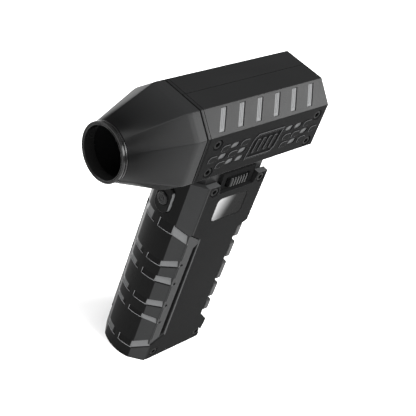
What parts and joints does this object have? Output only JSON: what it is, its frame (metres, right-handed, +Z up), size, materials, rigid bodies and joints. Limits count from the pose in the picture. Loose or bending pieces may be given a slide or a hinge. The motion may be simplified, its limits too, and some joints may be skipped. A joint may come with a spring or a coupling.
{
  "type": "handheld car drying blower",
  "caption": "Handheld turbo blower for drying cars: octagonal fan head with tapered round outlet on an upright grip with display window.",
  "frame": {"origin": "centre of the bounding box at its lowest level, on the flat base of the handle", "axes": "-X is the way the air leaves, +Z is up along the handle, Y is across; the object is mirrored about Y=0 but for its display and slider"},
  "size_m": [0.1134, 0.04, 0.1562],
  "materials": {
    "shell": "fine satin grain",
    "cover": "fine satin grain, slightly lighter",
    "accent": "light grey satin",
    "gloss": "polished black",
    "lens": "polished display window",
    "rubber": "matt grip rubber",
    "screw": "black oxide steel",
    "steel": "turned steel",
    "aluminium": "machined aluminium",
    "copper": "copper windings",
    "board": "circuit board",
    "cell": "shrink sleeve"
  },
  "bodies": {
    "body": {"nozzle_cone": "shell", "outlet_ring": "gloss", "head_shell_right": "shell", "vent_strip_right": "accent", "handle_shell_right": "shell", "side_plate_right": "shell", "head_screw_right_1": "screw", "plate_screw_right_1": "screw", "head_screw_right_2": "screw", "plate_screw_right_2": "screw", "head_screw_right_3": "screw", "plate_screw_right_3": "screw", "head_screw_right_4": "screw", "plate_screw_right_4": "screw", "head_shell_left": "shell", "vent_strip_left": "accent", "handle_shell_left": "shell", "side_plate_left": "shell", "head_screw_left_1": "screw", "plate_screw_left_1": "screw", "head_screw_left_2": "screw", "plate_screw_left_2": "screw", "head_screw_left_3": "screw", "plate_screw_left_3": "screw", "head_screw_left_4": "screw", "plate_screw_left_4": "screw", "rear_cap": "shell", "intake_grille": "gloss", "fan_duct": "shell", "guide_vane_ring": "shell", "tail_cone": "shell", "motor_stator": "copper", "bearing_front": "steel", "bearing_rear": "steel", "front_cover": "cover", "rear_grip": "rubber", "base_cap": "shell", "button_bezel": "shell", "button_switch": "gloss", "slide_switch": "steel", "display_lens": "lens", "display_module": "board", "battery_cell_1": "cell", "battery_cell_2": "cell", "battery_cradle": "shell", "control_board": "board", "usb_c_socket": "steel", "motor_leads": "copper"},
    "fan": {"impeller": "aluminium", "impeller_nut": "aluminium", "motor_shaft": "steel", "motor_magnet": "steel"},
    "button": {"power_button": "gloss"},
    "slider": {"speed_slider": "gloss"}
  },
  "joints": [
    {"name": "fan_spin", "type": "hinge", "parent": "body", "child": "fan", "pos_m": [0.03925, 0, 0.1362], "axis": [1, 0, 0], "continuous": true},
    {"name": "power_press", "type": "slide", "parent": "body", "child": "button", "axis": [1, 0, 0], "range_m": [0, 0.0012], "stiffness_N_per_m": 1500, "springref_m": -0.0006},
    {"name": "speed_slide", "type": "slide", "parent": "body", "child": "slider", "axis": [1, 0, 0], "range_m": [-0.002, 0.002]}
  ]
}
